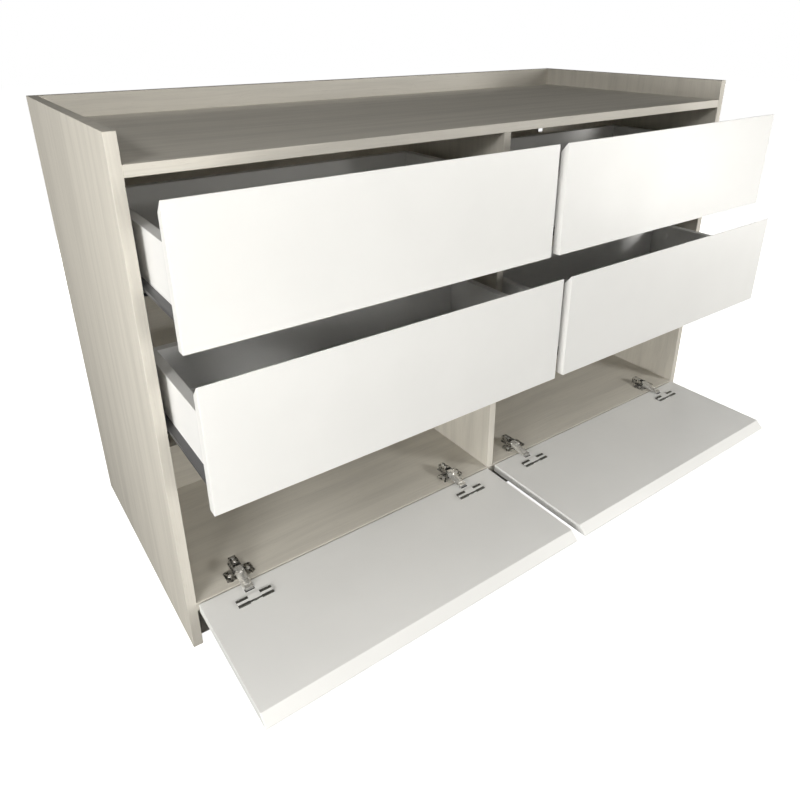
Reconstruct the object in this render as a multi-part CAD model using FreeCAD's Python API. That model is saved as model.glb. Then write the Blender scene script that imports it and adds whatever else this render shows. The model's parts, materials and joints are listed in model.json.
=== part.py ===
import FreeCAD, Part
import math
import os

os.makedirs("parts", exist_ok=True)

# Low chest of drawers with two drop flaps, in millimetres.
# Origin: on the floor, in the middle of the plinth board's underside.
# +X is to the right seen from the front, +Y to the back, +Z up.
# The drawers are drawn partly pulled out and the flaps fully open.

# Carcass
carcass_width = 1300.0
carcass_depth = 532.0
carcass_height = 832.0
board = 16.0
rim_height = 40.0
plinth_height = 72.0
plinth_setback = 20.0
rail_height = 100.0
rail_setback = 312.0
drawer_rail_low = 404.0
edge_ease = 0.5
overcut = 1.0

# Cut-out at the right back corner, through the back board's end and the side panel's back edge
slot_width = 20.0
slot_height = 40.0
slot_drop = 74.0
slot_bite = 12.0

# Drawer fronts and flaps, set between the carcass boards
front_thickness = 16.0
front_gap = 2.0
finger_gap = 28.5
drawer_front_height = 186.5
flap_height = 249.5
flap_foot_gap = 3.0
flap_open_gap = 4.0
bevel_drop = 16.0
bevel_land = 2.0

# Drawer boxes
drawer_side_gap = 13.0
drawer_side_thickness = 15.0
drawer_side_height = 96.0
drawer_side_lift = 28.0
upper_box_length = 380.0
lower_box_length = 260.0
drawer_floor_thickness = 6.0
drawer_floor_recess = 10.0
groove_depth = 6.0
upper_pull = 130.0
lower_pull = 163.0

# Roller runners: pressed steel profiles under and beside each drawer side
runner_steel = 1.2
runner_seat_width = 12.0
runner_web_height = 16.0
runner_wall_gap = 2.3
runner_lip = 5.0
runner_front_gap = 2.0
track_width = 10.4
track_back_height = 18.0
roller_radius = 6.5
roller_width = 6.5
roller_wall_gap = 4.1
roller_gap = 0.3
roller_inset = 9.0
axle_radius = 2.0
axle_gap = 0.05
axle_end = 0.5

# Concealed hinges, two on each flap
hinge_inset = 80.0
plate_thickness = 2.0
plate_front = 10.0
plate_depth = 26.0
plate_span = 49.0
plate_spine_width = 18.0
plate_corner = 2.5
plate_screw_spacing = 33.0
plate_slot_length = 9.0
plate_slot_width = 6.0
saddle_width = 8.5
saddle_height = 7.0
arm_width = 16.4
arm_back_width = 12.8
arm_steel = 1.2
arm_height = 13.0
arm_length = 29.0
arm_mouth = 8.0
arm_ear_radius = 5.0
arm_slot_width = 5.0
arm_slot_length = 6.0
arm_slot_margin = 3.0
pivot_setback = 25.0
pivot_height = 8.0
pivot_radius = 1.6
pivot_gap = 0.05
arc_steps = 6
link_boss_width = 12.4
link_boss_radius = 4.6
link_shoulder = 7.0
link_back_width = 16.0
link_front_width = 18.0
link_under = 2.8
link_clearance = 1.2
link_crown_radius = 11.0
link_crown_height = 12.0
link_crown_fall = 0.21
link_brow = 36.0
link_fold_width = 1.4
link_fold_depth = 1.6
link_fold = 31.0
nose_width = 14.0
nose_length = 8.0
nose_height = 4.2
nose_reach = 46.0
nose_dip = 2.0
nose_dip_length = 3.0
cup_radius = 17.5
cup_wall = 0.8
cup_depth = 11.5
cup_setback = 28.5
cup_bore_gap = 0.1
wing_span = 61.0
wing_depth = 16.4
wing_offset = 10.5
wing_thickness = 1.2
rib_height = 0.9
rib_near_width = 5.6
rib_far_width = 4.8
rib_slim_width = 2.0
rib_slim_inset = 1.9
rib_length = 20.0
rib_notch = 2.0
rib_notch_inset = 4.5
cover_thickness = 1.5
cover_gap = 0.2
cover_bar = 0.8
cover_riser = 1.0
cover_notch_width = 17.0
cover_notch_end = 21.0

# Places that follow from the sizes
front_plane = -(plinth_setback + board / 2)
back_plane = front_plane + carcass_depth
half_width = carcass_width / 2
back_face = back_plane - board
floor_top = plinth_height + board
ceiling = carcass_height - rim_height - board
bays = {
    "left": (board - half_width, -board / 2),
    "right": (board / 2, half_width - board),
}
upper_front_low = ceiling - front_gap - drawer_front_height
lower_front_low = upper_front_low - finger_gap - drawer_front_height

# Flap pivot: the one line about which the closed flap turns a right angle into the open flap
flap_pivot_y = front_plane + (front_thickness + flap_foot_gap - flap_open_gap) / 2
flap_pivot_z = floor_top + (flap_foot_gap - flap_open_gap - front_thickness) / 2
flap_edge = front_plane - flap_open_gap
cup_y = flap_edge - cup_setback
hinge_pin_y = front_plane + pivot_setback
hinge_pin_z = floor_top + pivot_height
arm_back = hinge_pin_y + arm_length
wing_far = cup_y - wing_offset - wing_depth / 2
wing_near = cup_y - wing_offset + wing_depth / 2
rib_slim = wing_far + rib_slim_inset


def box(x, y, z):
    """Plain box between pairs of low and high values."""
    corner = FreeCAD.Vector(x[0], y[0], z[0])
    return Part.makeBox(x[1] - x[0], y[1] - y[0], z[1] - z[0], corner)


def eased(shape):
    """The same board with all its edges eased by a small chamfer."""
    return shape.makeChamfer(edge_ease, shape.Edges)


def panel(x, y, z):
    """Board with eased edges."""
    return eased(box(x, y, z))


def outline(points):
    """Face inside a closed line of points."""
    corners = [FreeCAD.Vector(*p) for p in points]
    return Part.Face(Part.makePolygon(corners + corners[:1]))


def bar_along_x(points, x):
    """Outline in Y and Z, drawn out along X."""
    face = outline([(x[0], y, z) for y, z in points])
    return face.extrude(FreeCAD.Vector(x[1] - x[0], 0, 0))


def bar_along_y(points, y):
    """Outline in X and Z, drawn out along Y."""
    face = outline([(x, y[0], z) for x, z in points])
    return face.extrude(FreeCAD.Vector(0, y[1] - y[0], 0))


def bar_along_z(points, z):
    """Outline in X and Y, drawn out along Z."""
    face = outline([(x, y, z[0]) for x, y in points])
    return face.extrude(FreeCAD.Vector(0, 0, z[1] - z[0]))


def tapered(x, y, z, front_width, back_width):
    """Upright block about x whose width changes evenly from its front to its back."""
    front, back = front_width / 2, back_width / 2
    plan = [(x - front, y[0]), (x + front, y[0]), (x + back, y[1]), (x - back, y[1])]
    return bar_along_z(plan, z)


def arc(y, z, radius, start, end):
    """Points on an arc in Y and Z, between two angles in degrees from the back."""
    turns = [start + (end - start) * i / arc_steps for i in range(arc_steps + 1)]
    angles = [math.radians(turn) for turn in turns]
    return [(y + radius * math.cos(a), z + radius * math.sin(a)) for a in angles]


def rod_along_x(x, y, z, radius):
    """Round bar along X between two values."""
    start = FreeCAD.Vector(x[0], y, z)
    return Part.makeCylinder(radius, x[1] - x[0], start, FreeCAD.Vector(1, 0, 0))


def disc(x, y, z, radius):
    """Round bar along Z between two heights."""
    return Part.makeCylinder(radius, z[1] - z[0], FreeCAD.Vector(x, y, z[0]))


def mirrored(shape, x):
    """Copy of a shape on the other side of the plane at x."""
    return shape.mirror(FreeCAD.Vector(x, 0, 0), FreeCAD.Vector(1, 0, 0))


def save(name, *solids):
    """Writes one piece, or a group of alike pieces, under its name."""
    shape = solids[0] if len(solids) == 1 else Part.makeCompound(solids)
    for solid in shape.Solids:
        if not solid.isValid() or solid.Volume <= 0:
            raise ValueError(f"{name} holds a bad solid")
    shape.exportStep(f"parts/{name}.step")
    print(f"{name}: {len(shape.Solids)} solid(s), {shape.Volume / 1000:.1f} cm3")


# Carcass boards
def make_carcass():
    inner = (board - half_width, half_width - board)
    depth = (front_plane, back_face)
    full_depth = (front_plane, back_plane)
    slot_z = (ceiling - slot_drop - slot_height, ceiling - slot_drop)
    bite_y = (back_plane - slot_bite, back_plane + overcut)
    bite = box((inner[1] - overcut, half_width + overcut), bite_y, slot_z)
    slot_x = (inner[1] - slot_width, inner[1] + overcut)
    slot = box(slot_x, (back_face - overcut, back_plane + overcut), slot_z)
    save("side_panel_left", panel((-half_width, inner[0]), full_depth, (0, carcass_height)))
    right = panel((inner[1], half_width), full_depth, (0, carcass_height))
    save("side_panel_right", right.cut(bite))
    save("top_board", panel(inner, depth, (ceiling, ceiling + board)))
    save("bottom_board", panel(inner, depth, (plinth_height, floor_top)))
    save("centre_divider", panel((-board / 2, board / 2), depth, (floor_top, ceiling)))
    plinth_front = front_plane + plinth_setback
    save("plinth_board", panel(inner, (plinth_front, plinth_front + board), (0, plinth_height)))
    back = panel(inner, (back_face, back_plane), (plinth_height, carcass_height))
    save("back_board", back.cut(slot))
    rail_front = front_plane + rail_setback
    for bay, x in bays.items():
        rail_y = (rail_front, rail_front + board)
        save(f"compartment_rail_{bay}", panel(x, rail_y, (floor_top, floor_top + rail_height)))
        save(f"drawer_rail_{bay}", panel(x, rail_y, (drawer_rail_low, drawer_rail_low + rail_height)))


def front_profile(outer, low, high):
    """Section of a front: square foot, top edge bevelled on the inner side as a finger pull."""
    inner = outer + front_thickness
    land = outer + bevel_land
    return [(outer, low), (inner, low), (inner, high - bevel_drop), (land, high), (outer, high)]


# Drawers
def make_drawer(name, bay, front_low, pull, box_length):
    x_low, x_high = bays[bay]
    front_x = (x_low + front_gap, x_high - front_gap)
    front_y = front_plane - pull
    box_front = front_y + front_thickness
    box_back = box_front + box_length
    box_x = (x_low + drawer_side_gap, x_high - drawer_side_gap)
    side_low = front_low + drawer_side_lift
    side_high = side_low + drawer_side_height
    floor_low = side_low + drawer_floor_recess
    floor_high = floor_low + drawer_floor_thickness

    inner_x = (box_x[0] + drawer_side_thickness, box_x[1] - drawer_side_thickness)
    floor_x = (inner_x[0] - groove_depth, inner_x[1] + groove_depth)
    floor_y = (box_front - groove_depth, box_back)
    floor = box(floor_x, floor_y, (floor_low, floor_high))

    profile = front_profile(front_y, front_low, front_low + drawer_front_height)
    front = eased(bar_along_x(profile, front_x))
    left = panel((box_x[0], inner_x[0]), (box_front, box_back), (side_low, side_high))
    right = panel((inner_x[1], box_x[1]), (box_front, box_back), (side_low, side_high))
    back_y = (box_back - drawer_side_thickness, box_back)
    back = panel(inner_x, back_y, (floor_high, side_high))
    save(f"drawer_front_{name}", front.cut(floor))
    save(f"drawer_side_left_{name}", left.cut(floor))
    save(f"drawer_side_right_{name}", right.cut(floor))
    save(f"drawer_back_{name}", back)
    save(f"drawer_floor_{name}", floor)
    make_runners(name, (x_low, x_high), box_x, side_low, box_front, box_back)


def roller(x, y, z):
    """Nylon runner wheel on an axle along X."""
    bore = rod_along_x((x[0] - overcut, x[1] + overcut), y, z, axle_radius + axle_gap)
    return rod_along_x(x, y, z, roller_radius).cut(bore)


def axle(root, x, y, z, outwards):
    """Rivet from a runner's web at root, through the roller at x and a little beyond it."""
    tip = x[1] if outwards > 0 else x[0]
    return rod_along_x(sorted((root, tip + outwards * axle_end)), y, z, axle_radius)


# Roller runners of one drawer: a pair under the drawer, a pair on the carcass and their wheels
def make_runners(name, bay_x, box_x, side_low, box_front, box_back):
    wall, side = bay_x[0], box_x[0]
    centre = (bay_x[0] + bay_x[1]) / 2
    web_top = side_low + runner_web_height
    lip_out = wall + runner_wall_gap
    lip_in = lip_out + runner_steel
    web_out = side - runner_steel
    seat_low = side_low - runner_steel
    seat_in = side + runner_seat_width
    wheel_x = (wall + roller_wall_gap, wall + roller_wall_gap + roller_width)

    drawer_profile = [
        (seat_in, seat_low), (web_out, seat_low), (web_out, web_top - runner_steel),
        (lip_in, web_top - runner_steel), (lip_in, web_top - runner_lip),
        (lip_out, web_top - runner_lip), (lip_out, web_top), (side, web_top),
        (side, side_low), (seat_in, side_low),
    ]
    drawer_bar = bar_along_y(drawer_profile, (box_front, box_back))
    front_wheel_z = web_top - runner_steel - roller_gap - roller_radius
    rear_wheel_y = box_back - roller_inset
    rear_wheel_z = front_wheel_z - roller_gap
    rear_axle = axle(web_out, wheel_x, rear_wheel_y, rear_wheel_z, -1)
    drawer_runner = drawer_bar.fuse(rear_axle)

    track_top = rear_wheel_z - roller_radius - roller_gap
    track_low = track_top - runner_steel
    track_end = wall + track_width
    track_high = track_low + track_back_height
    carcass_profile = [
        (wall, track_low), (track_end, track_low), (track_end, track_top),
        (wall + runner_steel, track_top), (wall + runner_steel, track_high), (wall, track_high),
    ]
    track_front = front_plane + front_thickness + runner_front_gap
    carcass_bar = bar_along_y(carcass_profile, (track_front, track_front + box_back - box_front))
    front_wheel_y = track_front + roller_inset
    front_axle = axle(wall + runner_steel, wheel_x, front_wheel_y, front_wheel_z, 1)
    carcass_runner = carcass_bar.fuse(front_axle)

    front_wheel = roller(wheel_x, front_wheel_y, front_wheel_z)
    rear_wheel = roller(wheel_x, rear_wheel_y, rear_wheel_z)
    save(f"drawer_runners_{name}", drawer_runner, mirrored(drawer_runner, centre))
    save(f"carcass_runners_{name}", carcass_runner, mirrored(carcass_runner, centre))
    save(f"front_rollers_{name}", front_wheel, mirrored(front_wheel, centre))
    save(f"rear_rollers_{name}", rear_wheel, mirrored(rear_wheel, centre))
    print(f"  front rollers turn at y {front_wheel_y:.2f}, z {front_wheel_z:.2f}")
    print(f"  rear rollers turn at y {rear_wheel_y:.2f}, z {rear_wheel_z:.2f}")


def hinge_plate(x):
    """Cross-shaped mounting plate with two slotted wings and a raised saddle."""
    z = (floor_top, floor_top + plate_thickness)
    front = front_plane + plate_front
    back = front + plate_depth
    left, right = x - plate_span / 2, x + plate_span / 2
    cut = plate_corner
    wings = bar_along_z([
        (left, front + cut), (left + cut, front), (right - cut, front), (right, front + cut),
        (right, back - cut), (right - cut, back), (left + cut, back), (left, back - cut),
    ], z)
    spine = box((x - plate_spine_width / 2, x + plate_spine_width / 2), (front, arm_back), z)
    saddle_x = (x - saddle_width / 2, x + saddle_width / 2)
    saddle_y = (hinge_pin_y + arm_mouth, arm_back)
    saddle = box(saddle_x, saddle_y, (floor_top, floor_top + saddle_height))
    plate = wings.fuse([spine, saddle]).removeSplitter()
    middle = (front + back) / 2
    slot_y = (middle - plate_slot_width / 2, middle + plate_slot_width / 2)
    for side in (-1, 1):
        screw_x = x + side * plate_screw_spacing / 2
        slot_x = (screw_x - plate_slot_length / 2, screw_x + plate_slot_length / 2)
        plate = plate.cut(box(slot_x, slot_y, (z[0] - overcut, z[1] + overcut)))
    return plate


def hinge_arm(x):
    """Tapered channel over the saddle, with two ears in front and the pin riveted through them."""
    y, z = hinge_pin_y, hinge_pin_z
    seat = floor_top + plate_thickness
    roof = floor_top + arm_height
    roof_y = y + arm_mouth
    length = (y - arm_ear_radius, arm_back)
    ear = arc(y, z, arm_ear_radius, 90, 230)
    profile = ear + [(ear[-1][0], seat), (arm_back, seat), (arm_back, roof), (roof_y, roof)]
    across = (x - arm_width, x + arm_width)
    tall = (floor_top - overcut, roof + overcut)
    outer = tapered(x, length, tall, arm_width, arm_back_width)
    walls = 2 * arm_steel
    inside = (length[0] - overcut, length[1] + overcut)
    inner = tapered(x, inside, tall, arm_width - walls, arm_back_width - walls)
    hollow = inner.common(box(across, inside, (tall[0], roof - arm_steel)))
    mouth = inner.common(box(across, (inside[0], roof_y), tall))
    body = bar_along_x(profile, across).common(outer).cut(hollow).cut(mouth)
    slot_x = (x - arm_slot_width / 2, x + arm_slot_width / 2)
    slot_z = (roof - arm_steel - overcut, roof + overcut)
    front_slot = roof_y + arm_slot_margin
    back_slot = arm_back - arm_slot_margin - arm_slot_length
    for start in (front_slot, back_slot):
        body = body.cut(box(slot_x, (start, start + arm_slot_length), slot_z))
    pin = rod_along_x(across, y, z, pivot_radius).common(outer)
    return body.fuse(pin).removeSplitter()


def hinge_link(x):
    """Swinging arm: a boss on the pin, a wide rounded body and a nose that dips into the cup."""
    y, z = hinge_pin_y, hinge_pin_z
    shoulder = y - link_shoulder
    tip = y - nose_reach
    nose_back = tip + nose_length
    low = floor_top + link_clearance
    under = floor_top + link_under
    top = floor_top + link_crown_height + overcut
    brow = y - link_brow
    across = (x - link_front_width, x + link_front_width)

    body_profile = [
        (shoulder, under), (shoulder, top), (nose_back, top), (nose_back, low), (brow, low),
    ]
    plan = tapered(x, (nose_back, shoulder), (low, top), link_front_width, link_back_width)
    body = bar_along_x(body_profile, across).common(plan)
    crown_z = floor_top + link_crown_height - link_crown_radius
    crown_length = link_shoulder + nose_reach
    slope = FreeCAD.Vector(0, -1, -link_crown_fall)
    crown_start = FreeCAD.Vector(x, shoulder + overcut, crown_z + overcut * link_crown_fall)
    crown = Part.makeCylinder(link_crown_radius, crown_length, crown_start, slope)
    body = body.common(crown)

    boss_x = (x - link_boss_width / 2, x + link_boss_width / 2)
    boss_profile = arc(y, z, link_boss_radius, -90, 90)
    boss_profile += [(shoulder - overcut, z + link_boss_radius - overcut), (shoulder - overcut, under)]
    boss = bar_along_x(boss_profile, boss_x)

    nose_x = (x - nose_width / 2, x + nose_width / 2)
    heel = tip + nose_dip_length
    dip = floor_top - nose_dip
    nose_top = floor_top + nose_height
    root = nose_back + overcut
    nose_profile = [
        (root, low), (root, nose_top), (tip, nose_top), (tip, dip), (heel, dip), (heel, low),
    ]
    nose = bar_along_x(nose_profile, nose_x)

    link = body.fuse([boss, nose])
    fold_y = y - link_fold
    fold_z = floor_top + link_crown_height - link_crown_fall * (link_fold - link_shoulder) - link_fold_depth
    link = link.cut(box(across, (fold_y, fold_y + link_fold_width), (fold_z, top)))
    hole = rod_along_x(across, y, z, pivot_radius + pivot_gap)
    return link.cut(hole).removeSplitter()


def hinge_cup(x):
    """Pressed cup sunk in the flap, with a ribbed wing plate that lies on the flap's inner face."""
    face = floor_top
    low = face - cup_depth
    shell = disc(x, cup_y, (low, face), cup_radius)
    shell = shell.cut(disc(x, cup_y, (low + cup_wall, face + overcut), cup_radius - cup_wall))
    left, right = x - wing_span / 2, x + wing_span / 2
    seat = box((left, right), (wing_near, flap_edge), (face - cover_thickness, face + overcut))
    shell = shell.cut(seat)
    wing_top = face + wing_thickness
    wing = box((left, right), (rib_slim, wing_near), (face, wing_top))
    rib_z = (face, wing_top + rib_height)
    far_y = (wing_far, wing_far + rib_far_width)
    near_y = (wing_near - rib_near_width, wing_near)
    ribs = [box((left, right), (rib_slim, rib_slim + rib_slim_width), rib_z)]
    for end, inwards in ((left, 1), (right, -1)):
        marks = [end, end + inwards * rib_notch_inset]
        marks.append(marks[1] + inwards * rib_notch)
        marks.append(end + inwards * rib_length)
        ribs.append(box(sorted((marks[0], marks[3])), far_y, rib_z))
        ribs.append(box(sorted((marks[0], marks[1])), near_y, rib_z))
        ribs.append(box(sorted((marks[2], marks[3])), near_y, rib_z))
    return shell.fuse([wing] + ribs).removeSplitter()


def hinge_cover(x):
    """White cap that closes the cup's mouth round the nose and lies between the wing plate's ribs."""
    z = (floor_top - cover_thickness, floor_top)
    bar_low = floor_top + wing_thickness
    bar_z = (bar_low, bar_low + cover_bar)
    edge = wing_near + cover_gap
    riser = (edge, edge + cover_riser)
    notch_x = (x - cover_notch_width / 2, x + cover_notch_width / 2)
    notch = box(notch_x, (flap_edge - cover_notch_end, flap_edge), (z[0] - overcut, z[1] + overcut))
    wide = (x - wing_span / 2, x + wing_span / 2)
    beyond = box(wide, (wing_far, edge), (z[0] - overcut, z[1] + overcut))
    cap = disc(x, cup_y, z, cup_radius).cut(notch).cut(beyond)
    tongue_half = wing_span / 2 - rib_length - cover_gap
    tongue_x = (x - tongue_half, x + tongue_half)
    step = box(tongue_x, riser, (z[0], bar_z[1]))
    tongue = box(tongue_x, (rib_slim + rib_slim_width + cover_gap, riser[1]), bar_z)
    strip_y = (wing_far + rib_far_width + cover_gap, wing_near - rib_near_width - cover_gap)
    strip = box(wide, strip_y, bar_z)
    return cap.fuse([step, tongue, strip]).removeSplitter()


# Drop flaps with their hinges
def make_flap(bay):
    x_low, x_high = bays[bay]
    flap_x = (x_low + front_gap, x_high - front_gap)
    inner, outer = floor_top, floor_top - front_thickness
    tip = flap_edge - flap_height
    profile = [
        (flap_edge, outer), (flap_edge, inner),
        (tip + bevel_drop, inner), (tip, outer + bevel_land), (tip, outer),
    ]
    flap = eased(bar_along_x(profile, flap_x))
    places = (flap_x[0] + hinge_inset, flap_x[1] - hinge_inset)
    for x in places:
        bore_z = (inner - cup_depth, inner + overcut)
        flap = flap.cut(disc(x, cup_y, bore_z, cup_radius + cup_bore_gap))
    save(f"flap_{bay}", flap)
    save(f"hinge_plates_{bay}", *[hinge_plate(x) for x in places])
    save(f"hinge_arms_{bay}", *[hinge_arm(x) for x in places])
    save(f"hinge_links_{bay}", *[hinge_link(x) for x in places])
    save(f"hinge_cups_{bay}", *[hinge_cup(x) for x in places])
    save(f"hinge_covers_{bay}", *[hinge_cover(x) for x in places])


make_carcass()
for bay_name in bays:
    make_drawer(f"upper_{bay_name}", bay_name, upper_front_low, upper_pull, upper_box_length)
    make_drawer(f"lower_{bay_name}", bay_name, lower_front_low, lower_pull, lower_box_length)
    make_flap(bay_name)
print(f"flaps turn at y {flap_pivot_y:.2f}, z {flap_pivot_z:.2f}")
print(f"hinge links turn at y {hinge_pin_y:.2f}, z {hinge_pin_z:.2f}")
print(f"drawer fronts start at z {upper_front_low:.2f} and {lower_front_low:.2f}")
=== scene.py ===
# %% [markdown]
# # A low chest of drawers with drop flaps
# The chest is a carcass of pale wood-grain board with white handle-less fronts. It comes in as a
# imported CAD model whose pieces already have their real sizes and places, so this lesson never moves
# or reshapes them. It gives each piece its finish, adds the small fasteners that the CAD leaves
# out, and sets up the camera and the studio.

# %% Load the chest
import json
import math

import bmesh
import bpy
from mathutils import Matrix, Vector


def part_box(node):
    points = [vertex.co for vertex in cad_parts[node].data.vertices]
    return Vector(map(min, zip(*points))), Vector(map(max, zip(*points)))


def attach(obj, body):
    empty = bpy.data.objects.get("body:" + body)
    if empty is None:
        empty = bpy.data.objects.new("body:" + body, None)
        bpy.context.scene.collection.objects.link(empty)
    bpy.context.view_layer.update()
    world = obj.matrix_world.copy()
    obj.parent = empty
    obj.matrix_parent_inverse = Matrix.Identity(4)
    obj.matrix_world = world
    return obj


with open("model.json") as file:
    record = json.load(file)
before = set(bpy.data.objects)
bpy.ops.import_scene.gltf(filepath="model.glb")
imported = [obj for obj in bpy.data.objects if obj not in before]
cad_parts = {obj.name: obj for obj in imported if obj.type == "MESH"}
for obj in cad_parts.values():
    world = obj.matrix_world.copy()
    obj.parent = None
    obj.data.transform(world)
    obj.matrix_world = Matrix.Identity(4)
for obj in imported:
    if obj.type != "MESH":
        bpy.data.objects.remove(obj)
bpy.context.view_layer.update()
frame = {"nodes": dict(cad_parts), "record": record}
nodes = frame["nodes"]

# %% [markdown]
# ## Writing finishes as sums
# A finish is a small sum: a tone plus streaks minus pores. Wiring every Math node by hand hides
# that, so one class wraps a socket and lets Python's own signs add the nodes. Any other node comes
# from its `node` method, which sets the node's settings first and then joins its sockets.

# %% A socket that can be used in sums
class Wire:
    """A socket on which + - * / add Math nodes."""

    def __init__(self, socket):
        self.socket = socket

    def node(self, kind, settings=None, sockets=None, out=0):
        """Any node of the same tree: its settings first, then values or wires for its sockets."""
        made = self.socket.id_data.nodes.new(kind)
        for name, value in (settings or {}).items():
            setattr(made, name, value)
        for name, value in (sockets or {}).items():
            join(made.inputs[name], value)
        return Wire(made.outputs[out])

    def sum(self, sign, first, second):
        return self.node("ShaderNodeMath", {"operation": sign}, {0: first, 1: second})

    def __add__(self, other):
        return self.sum("ADD", self, other)

    def __radd__(self, other):
        return self.sum("ADD", other, self)

    def __sub__(self, other):
        return self.sum("SUBTRACT", self, other)

    def __rsub__(self, other):
        return self.sum("SUBTRACT", other, self)

    def __mul__(self, other):
        return self.sum("MULTIPLY", self, other)

    def __rmul__(self, other):
        return self.sum("MULTIPLY", other, self)

    def __truediv__(self, other):
        return self.sum("DIVIDE", self, other)

    def __rtruediv__(self, other):
        return self.sum("DIVIDE", other, self)


def join(socket, value):
    """Links a wire to a socket, or sets a plain value on it."""
    if isinstance(value, Wire):
        socket.id_data.links.new(value.socket, socket)
    else:
        socket.default_value = value


print("wires ready")

# %% [markdown]
# ## Helpers that every finish uses
# Each finish reads Object coordinates, which are metres in the chest's own frame, so a grain or a
# speck keeps its true size on every board. A Mapping node stretches the noise along the grain.

# %% Start a finish and give it to pieces
def new_finish(name, **fixed):
    """A new material, its shader and its Object coordinates, with fixed values on the shader."""
    material = bpy.data.materials.new(name)
    material.use_nodes = True
    shader = material.node_tree.nodes["Principled BSDF"]
    for socket, value in fixed.items():
        shader.inputs[socket.replace("_", " ")].default_value = value
    place = material.node_tree.nodes.new("ShaderNodeTexCoord").outputs["Object"]
    return material, shader, Wire(place)


def paint(material, names):
    """Gives CAD pieces their finish."""
    for name in names:
        mesh = nodes[name].data
        mesh.materials.clear()
        mesh.materials.append(material)
    print(material.name, "on", len(names), "pieces")


# %% Stretch a noise, blend two colours, raise a relief
# A Mix node has one set of sockets for each kind of data. These are the ones for colours.
MIX_AMOUNT, MIX_FIRST, MIX_SECOND, MIX_RESULT = 0, 6, 7, 2


def noise(place, per_metre, detail, stretch=(1, 1, 1), roughness=0.5):
    """Noise with about that many features to a metre, stretched by the Mapping node's scales."""
    mapped = place.node("ShaderNodeMapping", None, {"Vector": place, "Scale": stretch})
    return place.node("ShaderNodeTexNoise", None, {
        "Vector": mapped, "Scale": per_metre, "Detail": detail, "Roughness": roughness})


def smooth_step(value, low, high):
    """0 below low, 1 above high, smooth between."""
    return value.node("ShaderNodeMapRange", {"interpolation_type": "SMOOTHSTEP"},
                      {"Value": value, "From Min": low, "From Max": high})


def blend(amount, first, second):
    """Colour between two colours or wires."""
    return amount.node("ShaderNodeMix", {"data_type": "RGBA"},
                       {MIX_AMOUNT: amount, MIX_FIRST: first, MIX_SECOND: second}, out=MIX_RESULT)


def relief(shader, height, depth):
    """Bump of that depth, in metres, on the shader's Normal."""
    bump = height.node("ShaderNodeBump", None,
                       {"Height": height, "Distance": depth, "Strength": 1.0})
    join(shader.inputs["Normal"], bump)


print("finish helpers ready")

# %% [markdown]
# ## Whitened wood-grain board
# The carcass is chipboard with a printed melamine skin: cream, with long faint streaks, fine fibres
# and a few short darker pores. It could be one stretched noise, but real prints mix three widths, so
# the finish sums broad bands, fibres and pores. A slow noise pushes the coordinates sideways first,
# because streaks that run dead straight look like brushed metal. The grain runs up the standing
# boards and across the lying ones, which shine a little more at the camera's low angle.

# %% Grain board finish
CREAM = (0.675, 0.645, 0.580, 1)
STREAK = (0.545, 0.520, 0.470, 1)
PORE = (0.44, 0.41, 0.36, 1)
BAND_SHARE, FIBRE_SHARE, PORE_SHARE = 0.55, 0.25, 0.35
SWAY = 0.035
PRINT_DEPTH = 0.00003
ACROSS, UPWARDS = 0, 2


def grain_finish(name, along, shine):
    """Board print with its grain along one axis, under a skin of that shine."""
    material, shader, place = new_finish(name, Specular_IOR_Level=shine)

    def drawn_out(share):
        """Mapping scales that draw a noise out along the grain."""
        return [share if axis == along else 1.0 for axis in range(3)]

    sway = (noise(place, 5.0, 2.0, drawn_out(0.5)) - 0.5) * SWAY
    wavy = place.node("ShaderNodeVectorMath", {"operation": "ADD"}, {0: place, 1: sway})
    fibres = noise(wavy, 420.0, 4.0, drawn_out(0.012), 0.6)
    bands = noise(wavy, 42.0, 3.0, drawn_out(0.05), 0.6)
    pore = smooth_step(noise(wavy, 900.0, 2.0, drawn_out(0.048)), 0.64, 0.74)
    broad = smooth_step(bands, 0.36, 0.70) * BAND_SHARE
    fine = smooth_step(fibres, 0.42, 0.72) * FIBRE_SHARE
    tone = blend(broad + fine, CREAM, STREAK)
    join(shader.inputs["Base Color"], blend(pore * PORE_SHARE, tone, PORE))
    join(shader.inputs["Roughness"], 0.46 + fibres * 0.16)
    relief(shader, fibres * 0.6 - pore * 0.4, PRINT_DEPTH)
    return material


standing = grain_finish("grain_board_standing", UPWARDS, 0.2)
lying = grain_finish("grain_board_lying", ACROSS, 0.55)
paint(standing, ["side_panel_left", "side_panel_right", "centre_divider"])
paint(lying, ["top_board", "bottom_board", "plinth_board", "back_board",
              "compartment_rail_left", "compartment_rail_right",
              "drawer_rail_left", "drawer_rail_right"])

# %% [markdown]
# ## White fronts and drawer boards
# The fronts and flaps are satin white melamine. A flat white looks like plaster, so the finish has
# the faint orange peel of a pressed skin and a slow change of gloss. The drawer boards are the same
# stuff in a plainer, more matt grade, and the hinges' cover caps are moulded in the fronts' white.

# %% White finishes
WHITE = (0.88, 0.88, 0.87, 1)
DRAWER_WHITE = (0.80, 0.80, 0.795, 1)
DULLER = 0.965
WHITES = {  # slot: colour, least roughness, depth of the orange peel
    "white_front": (WHITE, 0.26, 0.000012),
    "drawer_board": (DRAWER_WHITE, 0.58, 0.00003),
    "white_cap": (WHITE, 0.34, 0.00001),
}
slots = {row["node"]: row["material_slot"] for row in frame["record"]["subparts"]}


def in_slot(slot):
    """The CAD pieces of one of the record's material slots."""
    return [name for name in nodes if slots[name] == slot]


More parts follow.
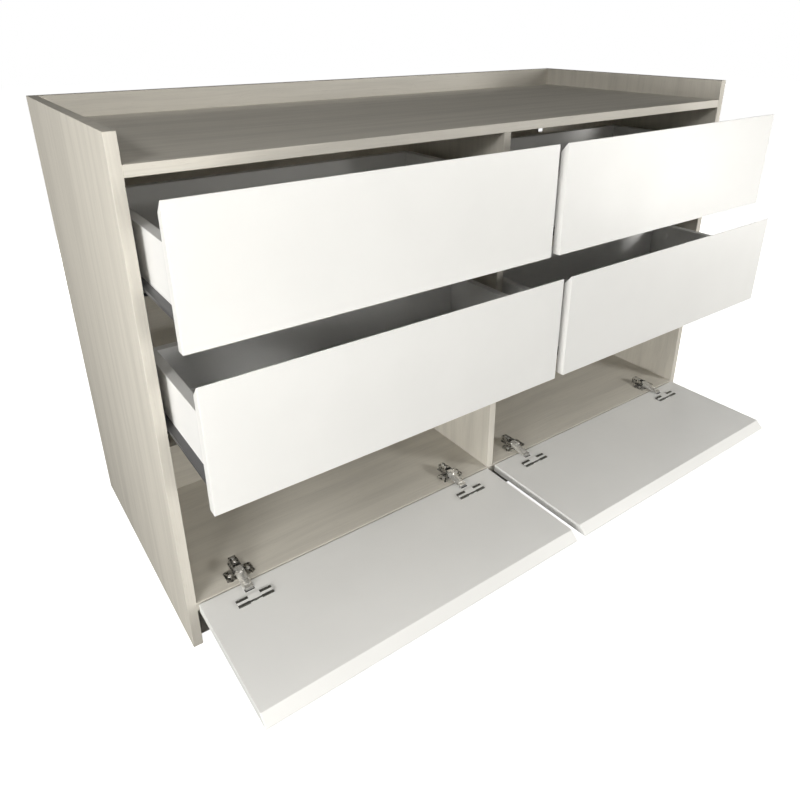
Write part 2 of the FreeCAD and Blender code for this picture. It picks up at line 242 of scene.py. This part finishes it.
def white_finish(name, colour, gloss, peel):
    """White board skin with clouds of duller white."""
    material, shader, place = new_finish(name, Specular_IOR_Level=0.4)
    cloud = noise(place, 9.0, 3.0)
    skin = noise(place, 700.0, 2.0)
    dull = tuple(DULLER * c for c in colour[:3]) + (1,)
    patch = smooth_step(cloud, 0.3, 0.7) * 0.6 + skin * 0.2
    join(shader.inputs["Base Color"], blend(patch, colour, dull))
    join(shader.inputs["Roughness"], gloss + cloud * 0.10)
    relief(shader, skin, peel)
    return material


for slot, look in WHITES.items():
    paint(white_finish(slot, *look), in_slot(slot))

# %% [markdown]
# ## Runners and rollers
# The runners are pressed sheet with a grey coat, specked like powder paint and rubbed paler along
# their length, where the drawers slide. The rollers are moulded nylon, a little yellow and waxy.
# Both are mostly hidden, but a plain grey would show as soon as a drawer is pulled out.

# %% Coated steel and nylon
COAT = (0.10, 0.10, 0.104, 1)
RUBBED_COAT = (0.24, 0.24, 0.245, 1)
NYLON = (0.80, 0.79, 0.74, 1)
NYLON_GRAIN = (0.73, 0.72, 0.66, 1)
SPECK_DEPTH = 0.00002


def runner_finish():
    """Grey coated steel, specked and rubbed along the slide."""
    material, shader, place = new_finish("runner_steel", Metallic=0.35)
    speck = noise(place, 1500.0, 2.0)
    rub = noise(place, 60.0, 4.0, (1, 0.1, 1))
    worn = smooth_step(rub, 0.5, 0.75) * 0.5 + speck * 0.2
    join(shader.inputs["Base Color"], blend(worn, COAT, RUBBED_COAT))
    join(shader.inputs["Roughness"], 0.36 + speck * 0.14)
    relief(shader, speck, SPECK_DEPTH)
    return material


def nylon_finish():
    """Waxy moulded nylon that lets a little light in."""
    material, shader, place = new_finish("nylon", Subsurface_Weight=0.1, Subsurface_Scale=0.002)
    grain = noise(place, 1100.0, 2.0)
    join(shader.inputs["Base Color"], blend(grain, NYLON, NYLON_GRAIN))
    join(shader.inputs["Roughness"], 0.38 + grain * 0.14)
    relief(shader, grain, SPECK_DEPTH)
    return material


paint(runner_finish(), in_slot("runner_steel"))
paint(nylon_finish(), in_slot("nylon"))

# %% [markdown]
# ## Hinges
# The hinges are nickel-plated steel: a metal whose gloss is broken by fine brushing and by random
# darker patches. One nickel for all of them would look like a toy, so the plating comes as lit and
# shaded copies
# with painted light in their colours: the swinging links carry a near-white painted highlight, the
# plates and arms mix painted highlight with near-black painted dark reflection, and the cups' wing
# plates are painted nearly black as a dark reflection.

# %% Plated finishes
BRUSH_DEPTH = 0.000008


def plated_finish(name, bright, dull, gloss, metal):
    """Plated steel between two tones in random patches; the tones are a painted highlight and a
    painted dark reflection.
    """
    material, shader, place = new_finish(name, Metallic=metal)
    brush = noise(place, 2600.0, 2.0, (1, 0.08, 1))
    # Painted reflection: random patches take the darker tone, which stands in for dark reflections,
    # and are a little rougher.
    dark_patch = smooth_step(noise(place, 260.0, 3.0), 0.42, 0.60)
    join(shader.inputs["Base Color"], blend(dark_patch, bright, dull))
    join(shader.inputs["Roughness"], gloss + brush * 0.10 + dark_patch * 0.10)
    relief(shader, brush, BRUSH_DEPTH)
    return material


# Painted highlight: the links' near-white tone on a half-metal stands in for the bright reflection
# along their tops.
nickel = plated_finish("nickel", (0.98, 0.97, 0.94, 1), (0.50, 0.49, 0.47, 1), 0.15, 0.62)
# Painted light: near-white painted highlight and near-black painted dark reflection in patches on the
# plates and arms.
nickel_painted_highlight_and_shade = plated_finish("nickel_painted_highlight_and_shade", (0.80, 0.79, 0.76, 1), (0.09, 0.09, 0.08, 1), 0.20, 0.92)
# Painted dark reflection: the cups' wing plates are nearly black, standing in for the dark reflection
# of their ribs.
dark_nickel = plated_finish("dark_nickel", (0.16, 0.16, 0.15, 1), (0.11, 0.11, 0.10, 1), 0.34, 0.60)
plated = in_slot("nickel")
paint(nickel, [name for name in plated if name.startswith("hinge_links")])
paint(nickel_painted_highlight_and_shade, [name for name in plated if not name.startswith("hinge_links")])
paint(dark_nickel, in_slot("dark_nickel"))

# %% [markdown]
# ## Screws and rivets
# Every fastener on the chest is one of two heads: a domed head with a cross slot, or a plain rivet.
# They could be modelled one by one, but each is the same shape at another place, so a Geometry Nodes
# tree makes the head once and sets it on points. Each point says which way its head looks, how wide
# and tall it is beside the tree's own head, and whether it has a slot. The seed turns the slots at
# random, as a fitter leaves them.

# %% The two heads
def domed_head(points, radius, tall):
    """A ball with its lower half pressed flat and its upper half as tall as the head."""
    ball = points.node("GeometryNodeMeshUVSphere", None,
                       {"Segments": 20, "Rings": 10, "Radius": radius})
    spot = points.node("GeometryNodeInputPosition")
    apart = points.node("ShaderNodeSeparateXYZ", None, {0: spot}).socket.node
    x, y, z = [Wire(socket) for socket in apart.outputs]
    rise = points.node("ShaderNodeMath", {"operation": "MAXIMUM"}, {0: z, 1: 0.0})
    pressed = points.node("ShaderNodeCombineXYZ", None,
                          {"X": x, "Y": y, "Z": rise * tall / radius})
    dome = points.node("GeometryNodeSetPosition", None, {"Geometry": ball, "Position": pressed})
    return points.node("GeometryNodeSetShadeSmooth", None, {"Geometry": dome})


def cross_slotted(points, head, length, width, tall):
    """The head with two crossed bars cut out of its top."""
    lift = points.node("ShaderNodeCombineXYZ", None, {"Z": tall})
    for x, y in ((length, width), (width, length)):
        size = points.node("ShaderNodeCombineXYZ", None, {"X": x, "Y": y, "Z": tall})
        bar = points.node("GeometryNodeMeshCube", None, {"Size": size})
        bar = points.node("GeometryNodeTransform", None, {"Geometry": bar, "Translation": lift})
        head = points.node("GeometryNodeMeshBoolean", {"operation": "DIFFERENCE"},
                           {"Mesh 1": head, "Mesh 2": bar})
    return head


# %% The tree that sets heads on points
def new_tree(name, sizes):
    """An empty Geometry Nodes tree with named inputs, and the wires of those inputs."""
    tree = bpy.data.node_groups.new(name, "GeometryNodeTree")
    tree.interface.new_socket("Geometry", in_out="INPUT", socket_type="NodeSocketGeometry")
    for label, (kind, value) in sizes.items():
        socket = tree.interface.new_socket(label, in_out="INPUT", socket_type=kind)
        socket.default_value = value
    tree.interface.new_socket("Geometry", in_out="OUTPUT", socket_type="NodeSocketGeometry")
    entry = tree.nodes.new("NodeGroupInput")
    return tree, {socket.name: Wire(socket) for socket in entry.outputs if socket.name}


def head_tree():
    """Domed heads, slotted or plain, on the points that come in."""
    tree, given = new_tree("heads", {
        "Head radius": ("NodeSocketFloat", 0.0036),
        "Head height": ("NodeSocketFloat", 0.0016),
        "Slot length": ("NodeSocketFloat", 0.0044),
        "Slot width": ("NodeSocketFloat", 0.0010),
        "Seed": ("NodeSocketInt", 7),
        "Finish": ("NodeSocketMaterial", None),
    })
    points, tall = given["Geometry"], given["Head height"]
    dome = domed_head(points, given["Head radius"], tall)
    cut = cross_slotted(points, dome, given["Slot length"], given["Slot width"], tall)

    def read(kind, label):
        """One of the points' own values."""
        return points.node("GeometryNodeInputNamedAttribute", {"data_type": kind}, {"Name": label})

    slotted = read("BOOLEAN", "slotted")
    plain = points.node("FunctionNodeBooleanMath", {"operation": "NOT"}, {0: slotted})
    spin = points.node("FunctionNodeRandomValue", {"data_type": "FLOAT"},
                       {"Max": math.tau, "Seed": given["Seed"]}, out=1)
    turn = points.node("ShaderNodeCombineXYZ", None, {"Z": spin})
    sets = []
    for head, chosen in ((cut, slotted), (dome, plain)):
        placed = points.node("GeometryNodeInstanceOnPoints", None, {
            "Points": points, "Instance": head, "Selection": chosen,
            "Rotation": read("FLOAT_VECTOR", "facing"), "Scale": read("FLOAT_VECTOR", "size")})
        sets.append(points.node("GeometryNodeRotateInstances", None,
                                {"Instances": placed, "Rotation": turn}))
    both = points.node("GeometryNodeJoinGeometry", None, {"Geometry": sets[0]})
    join(both.socket.node.inputs["Geometry"], sets[1])
    real = points.node("GeometryNodeRealizeInstances", None, {"Geometry": both})
    done = points.node("GeometryNodeSetMaterial", None,
                       {"Geometry": real, "Material": given["Finish"]})
    leave = tree.nodes.new("NodeGroupOutput")
    join(leave.inputs["Geometry"], done)
    return tree


heads = head_tree()
print("tree with", len(heads.nodes), "nodes")

# %% Set heads on a body
FACING = {
    "up": (0, 0, 0), "down": (math.pi, 0, 0),
    "right": (0, math.pi / 2, 0), "left": (0, -math.pi / 2, 0),
}


def set_heads(name, body, rows):
    """Nickel heads that ride on one body, from rows of place, facing and kind of head."""
    mesh = bpy.data.meshes.new(name)
    mesh.from_pydata([place for place, _, _ in rows], [], [])
    facing = mesh.attributes.new("facing", "FLOAT_VECTOR", "POINT")
    size = mesh.attributes.new("size", "FLOAT_VECTOR", "POINT")
    slotted = mesh.attributes.new("slotted", "BOOLEAN", "POINT")
    for i, (_, side, (wide, tall, has_slot)) in enumerate(rows):
        facing.data[i].vector = FACING[side]
        size.data[i].vector = (wide, wide, tall)
        slotted.data[i].value = has_slot
    piece = bpy.data.objects.new(name, mesh)
    bpy.context.collection.objects.link(piece)
    modifier = piece.modifiers.new("heads", "NODES")
    modifier.node_group = heads
    for socket in heads.interface.items_tree:
        if socket.name == "Finish":
            # The heads take the links' nickel, whose near-white tone is a painted highlight.
            modifier[socket.identifier] = nickel
    seen = piece.evaluated_get(bpy.context.evaluated_depsgraph_get())
    plain_mesh = bpy.data.meshes.new_from_object(seen)
    piece.modifiers.clear()
    piece.data = plain_mesh
    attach(piece, body)
    print(name, "on", body, len(rows), "heads,", len(plain_mesh.polygons), "faces")


# %% [markdown]
# ## Where the heads sit
# The places come from the CAD pieces that the heads hold down: the wings and slots of the hinges, the
# webs of the carcass runners, the seats of the drawer runners and the ends of the roller axles. A
# kind of head is its width and height beside the tree's own head, and whether it has a slot.

# %% Hinge screws and link rivets
MM = 0.001
WING_SCREW, ARM_SCREW = (1.0, 1.0, True), (0.78, 1.0, True)
LINK_RIVET, PIN_END = (0.85, 1.0, False), (0.5, 0.45, False)
PLATE_HALF = 24.5 * MM  # from a mounting plate's end to the middle of its arm
WING_MIDDLE = 13 * MM  # from a mounting plate's front edge to its wing screws
WING_TOP = 90 * MM
WING_OUT = 16.5 * MM  # from the middle of the arm to a wing screw
ARM_SLOTS = (11 * MM, 20 * MM)
ARM_SINK, LINK_SINK = 0.8 * MM, 1.8 * MM  # how far a head's base lies under the piece's top
RIVET_Y = -14 * MM
PIN_OUT, PIN_Y, PIN_Z = 8.7 * MM, -31 * MM, 92.6 * MM

hinge_rows, link_rows = [], {}
for bay in ("left", "right"):
    low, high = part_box(f"hinge_plates_{bay}")
    arm_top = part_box(f"hinge_arms_{bay}")[1][2]
    link_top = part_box(f"hinge_links_{bay}")[1][2]
    link_rows[bay] = []
    for x in (low[0] + PLATE_HALF, high[0] - PLATE_HALF):
        for out in (-WING_OUT, WING_OUT):
            hinge_rows.append(((x + out, low[1] + WING_MIDDLE, WING_TOP), "up", WING_SCREW))
        for y in ARM_SLOTS:
            hinge_rows.append(((x, y, arm_top - ARM_SINK), "up", ARM_SCREW))
        link_rows[bay].append(((x, RIVET_Y, link_top - LINK_SINK), "up", LINK_RIVET))
        for out, side in ((-PIN_OUT, "left"), (PIN_OUT, "right")):
            link_rows[bay].append(((x + out, PIN_Y, PIN_Z), side, PIN_END))
set_heads("hinge_screws", "carcass", hinge_rows)
for bay, rows in link_rows.items():
    set_heads(f"link_rivets_{bay}", f"hinge_links_{bay}", rows)

# %% Runner screws and axle ends
WEB_SCREW, SEAT_SCREW = (0.6, 0.55, True), (0.8, 0.6, True)
FRONT_AXLE, REAR_AXLE = (0.83, 0.4, False), (0.8, 0.4, False)
WEB = 1.2 * MM
WEB_SCREW_UP = 6.3 * MM
WEB_SCREW_FRONT, WEB_SCREW_BACK = 37 * MM, 55 * MM  # in from the carcass runner's ends
WHEEL, AXLE_GAP = 6.5 * MM, 0.2 * MM  # a roller's width, and the air beside it
SEAT_IN = 16.7 * MM
SEAT_SCREW_END = 30 * MM  # in from the drawer runner's ends


def on_both(low, high, inset, y, z, sides, head):
    """A row for the left and one for the right piece of a pair, in from the pair's outer faces."""
    return [((low[0] + inset, y, z), sides[0], head), ((high[0] - inset, y, z), sides[1], head)]


def middle(low, high):
    """The y and z of a box's middle."""
    return (low[1] + high[1]) / 2, (low[2] + high[2]) / 2


runner_rows = []
for name in ("upper_left", "upper_right", "lower_left", "lower_right"):
    low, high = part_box(f"carcass_runners_{name}")
    z = low[2] + WEB_SCREW_UP
    for y in (low[1] + WEB_SCREW_FRONT, middle(low, high)[0], high[1] - WEB_SCREW_BACK):
        runner_rows += on_both(low, high, WEB, y, z, ("right", "left"), WEB_SCREW)
    low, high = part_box(f"front_rollers_{name}")
    y, z = middle(low, high)
    runner_rows += on_both(low, high, WHEEL + AXLE_GAP, y, z, ("right", "left"), FRONT_AXLE)
    low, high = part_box(f"rear_rollers_{name}")
    y, z = middle(low, high)
    drawer_rows = on_both(low, high, -AXLE_GAP, y, z, ("left", "right"), REAR_AXLE)
    low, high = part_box(f"drawer_runners_{name}")
    for y in (low[1] + SEAT_SCREW_END, middle(low, high)[0], high[1] - SEAT_SCREW_END):
        drawer_rows += on_both(low, high, SEAT_IN, y, low[2], ("down", "down"), SEAT_SCREW)
    set_heads(f"drawer_runner_heads_{name}", f"drawer_{name}", drawer_rows)
set_heads("carcass_runner_heads", "carcass", runner_rows)

# %% [markdown]
# ## Camera
# The camera could be placed by eye, but the carcass has many straight edges, so its place, its turn
# and its lens were solved from them. The chest isn't in the middle of the photograph's own view,
# which a small lens shift stands for.

# %% Camera
LOOKS_DOWN, ROLL, HEADING = 23.65, 0.03, -36.01  # degrees

camera = bpy.data.objects.new("camera", bpy.data.cameras.new("camera"))
bpy.context.collection.objects.link(camera)
camera.location = (-0.8346, -0.8961, 0.9487)
camera.rotation_euler = [math.radians(v) for v in (90 - LOOKS_DOWN, ROLL, HEADING)]
camera.data.sensor_width = 36.0
camera.data.lens = 30.52
camera.data.shift_x = -0.0147
camera.data.shift_y = -0.1008
camera.data.clip_start = 0.02
bpy.context.scene.camera = camera
print("camera at", [round(v, 3) for v in camera.location], "with a lens of", camera.data.lens)

# %% [markdown]
# ## Floor and sky
# The photograph is a cut-out on white. The floor is a plain pale sheet that glows as white as the
# sky behind it. Both would wash out the chest if they lit it, so the floor is left out of its
# reflections, and the sky is bright to the camera alone.

# %% Floor
FLOOR_HALF = 12.0
FLOOR_GAP = 0.0005  # keeps the sheet from flickering with the feet of the side panels

bpy.context.scene.view_settings.view_transform = "Standard"
floor_mesh = bmesh.new()
bmesh.ops.create_grid(floor_mesh, x_segments=4, y_segments=4, size=FLOOR_HALF)
floor_data = bpy.data.meshes.new("floor")
floor_mesh.to_mesh(floor_data)
floor_mesh.free()
floor = bpy.data.objects.new("floor", floor_data)
bpy.context.collection.objects.link(floor)
floor.location = (0, 0, -FLOOR_GAP)
floor_finish = new_finish("floor", Base_Color=(0.8, 0.8, 0.79, 1), Roughness=0.9,
                          Emission_Color=(1, 1, 1, 1), Emission_Strength=1.0)[0]
floor_data.materials.append(floor_finish)
floor.visible_diffuse = False
floor.visible_glossy = False
print("floor with", len(floor_data.polygons), "faces")

# %% Sky
world = bpy.data.worlds.new("studio")
bpy.context.scene.world = world
world.use_nodes = True
sky = world.node_tree
dim_sky = sky.nodes["Background"]
dim_sky.inputs["Color"].default_value = (1, 0.985, 0.95, 1)
dim_sky.inputs["Strength"].default_value = 0.01
seen_sky = sky.nodes.new("ShaderNodeBackground")
seen_sky.inputs["Color"].default_value = (1, 1, 1, 1)
seen_sky.inputs["Strength"].default_value = 1.0
chosen_sky = sky.nodes.new("ShaderNodeMixShader")
rays = sky.nodes.new("ShaderNodeLightPath")
sky.links.new(rays.outputs["Is Camera Ray"], chosen_sky.inputs[0])
sky.links.new(dim_sky.outputs[0], chosen_sky.inputs[1])
sky.links.new(seen_sky.outputs[0], chosen_sky.inputs[2])
sky.links.new(chosen_sky.outputs[0], sky.nodes["World Output"].inputs[0])
print("sky with", len(sky.nodes), "nodes")

# %% [markdown]
# ## Lights
# The fronts are lit from both sides by soft lights about as high as the chest, which leaves the top
# board dark. One broad light on the left would be simpler, but it would shine through the finger gap
# over the lower drawers and onto their backs, so it is split into a low and a high light with nothing
# between them, and a distant light on the right reaches the upper drawers' backs. Fills from above,
# behind and beside let the chest be seen from every side.

# %% Lights
WARM = (1, 0.985, 0.945)
LIGHTS = {  # name: place, target, width, height, watts
    "left key": ((-1.97, -1.05, 0.50), (-0.4, 0.0, 0.50), 0.9, 0.40, 27.0),
    "high left key": ((-1.97, -1.05, 1.75), (-0.4, 0.0, 0.45), 0.9, 0.30, 14.0),
    "distant right key": ((3.17, -5.0, 2.0), (0.2, 0.0, 0.60), 0.6, 0.3, 32.0),
    "low left key": ((-1.25, -1.35, 0.50), (-0.4, 0.0, 0.45), 0.6, 0.6, 1.5),
    "far right key": ((1.55, -2.27, 0.88), (0.2, 0.0, 0.60), 0.4, 0.4, 4.0),
    "near right key": ((1.25, -1.50, 0.86), (0.3, 0.0, 0.60), 0.4, 0.26, 14.0),
    "low right key": ((1.75, -1.20, 0.40), (0.5, 0.0, 0.42), 0.5, 0.5, 6.0),
    "camera fill": ((-0.85, -0.95, 1.36), (0.0, 0.0, 0.50), 0.4, 0.3, 3.1),
    "top fill": ((0.0, 0.0, 2.80), (0.0, 0.0, 0.50), 1.6, 1.6, 5.6),
    "left fill": ((-2.60, 0.60, 0.90), (-0.6, 0.2, 0.45), 1.2, 1.2, 9.5),
    "right fill": ((2.20, 1.60, 0.40), (0.6, 0.3, 0.40), 0.7, 0.7, 20.0),
    "back fill": ((0.30, 2.60, 0.40), (0.0, 0.4, 0.40), 0.7, 0.7, 40.0),
}


def soft_light(name, place, target, width, height, watts):
    """Area light at a place, turned to a target."""
    data = bpy.data.lights.new(name, "AREA")
    data.shape = "RECTANGLE"
    data.size = width
    data.size_y = height
    data.color = WARM
    data.energy = watts
    lamp = bpy.data.objects.new(name, data)
    bpy.context.collection.objects.link(lamp)
    lamp.location = place
    lamp.rotation_euler = (Vector(target) - Vector(place)).to_track_quat("-Z", "Y").to_euler()


for name, setting in LIGHTS.items():
    soft_light(name, *setting)
print(len(LIGHTS), "lights")
